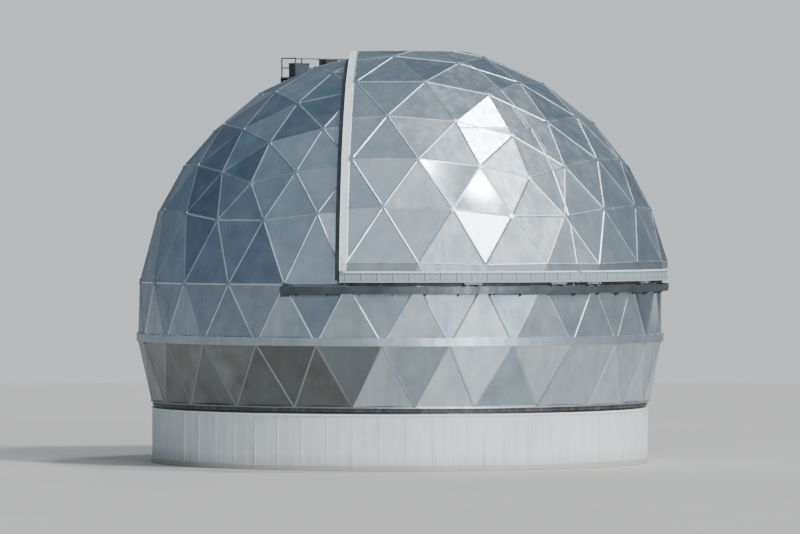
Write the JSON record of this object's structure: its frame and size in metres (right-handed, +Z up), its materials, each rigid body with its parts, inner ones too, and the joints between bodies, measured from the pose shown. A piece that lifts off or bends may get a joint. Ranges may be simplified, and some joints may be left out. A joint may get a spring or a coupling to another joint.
{
  "type": "observatory dome",
  "caption": "Faceted aluminium observatory dome that turns on a low white ring wall, with a pair of raised shutter leaves sliding round it to open the observing slot.",
  "frame": {"origin": "centre of the floor slab's underside, on the dome's turning axis at ground level", "axes": "+Z up, the observing slot and its closed shutter leaves face -Y at rest"},
  "size_m": [26.08, 26.34, 20.23],
  "materials": {
    "panel_aluminium": "weathered satin",
    "leaf_aluminium": "weathered satin",
    "white_trim": "satin",
    "white_wall": "matt",
    "dark_steel": "matt",
    "rail_steel": "satin",
    "door_paint": "satin",
    "floor_concrete": "matt"
  },
  "bodies": {
    "building": {"floor_slab": "floor_concrete", "ring_wall_1": "white_wall", "ring_wall_2": "white_wall", "ring_wall_3": "white_wall", "ring_wall_4": "white_wall", "door_lintel": "white_wall", "track_ring": "rail_steel", "door_frame": "white_trim", "entry_door": "door_paint"},
    "dome": {"base_ring_1": "dark_steel", "base_ring_2": "dark_steel", "base_ring_3": "dark_steel", "lower_band_1": "panel_aluminium", "lower_band_2": "panel_aluminium", "lower_band_3": "panel_aluminium", "lower_band_4": "panel_aluminium", "lower_band_5": "panel_aluminium", "dome_sector_1": "panel_aluminium", "dome_sector_2": "panel_aluminium", "dome_sector_3": "panel_aluminium", "dome_sector_4": "panel_aluminium", "crown_cap": "panel_aluminium", "slot_jamb_left": "white_trim", "slot_jamb_right": "white_trim", "slot_sill": "white_trim", "slot_head": "white_trim", "ledge_ring": "panel_aluminium", "shutter_rail": "rail_steel", "crown_rail": "rail_steel", "crown_deck": "dark_steel", "deck_railing": "dark_steel", "deck_cabinet_left": "rail_steel", "deck_cabinet_right": "rail_steel"},
    "left_leaf": {"left_leaf_lower_skin": "leaf_aluminium", "left_leaf_upper_skin": "leaf_aluminium", "left_leaf_leading_rib": "leaf_aluminium", "left_leaf_trailing_rib": "white_trim", "left_leaf_bottom_beam": "white_trim", "left_leaf_top_arc": "dark_steel"},
    "right_leaf": {"right_leaf_lower_skin": "leaf_aluminium", "right_leaf_upper_skin": "leaf_aluminium", "right_leaf_leading_rib": "leaf_aluminium", "right_leaf_trailing_rib": "white_trim", "right_leaf_bottom_beam": "white_trim", "right_leaf_top_arc": "dark_steel"}
  },
  "joints": [
    {"name": "dome_rotation", "type": "hinge", "parent": "building", "child": "dome", "pos_m": [0, 0, 2.8], "axis": [0, 0, 1], "continuous": true},
    {"name": "left_leaf_slide", "type": "hinge", "parent": "dome", "child": "left_leaf", "pos_m": [0, 0, 7.2], "axis": [0, 0, -1], "range_deg": [0, 36.5]},
    {"name": "right_leaf_slide", "type": "hinge", "parent": "dome", "child": "right_leaf", "pos_m": [0, 0, 7.2], "axis": [0, 0, 1], "range_deg": [0, 36.5]}
  ]
}
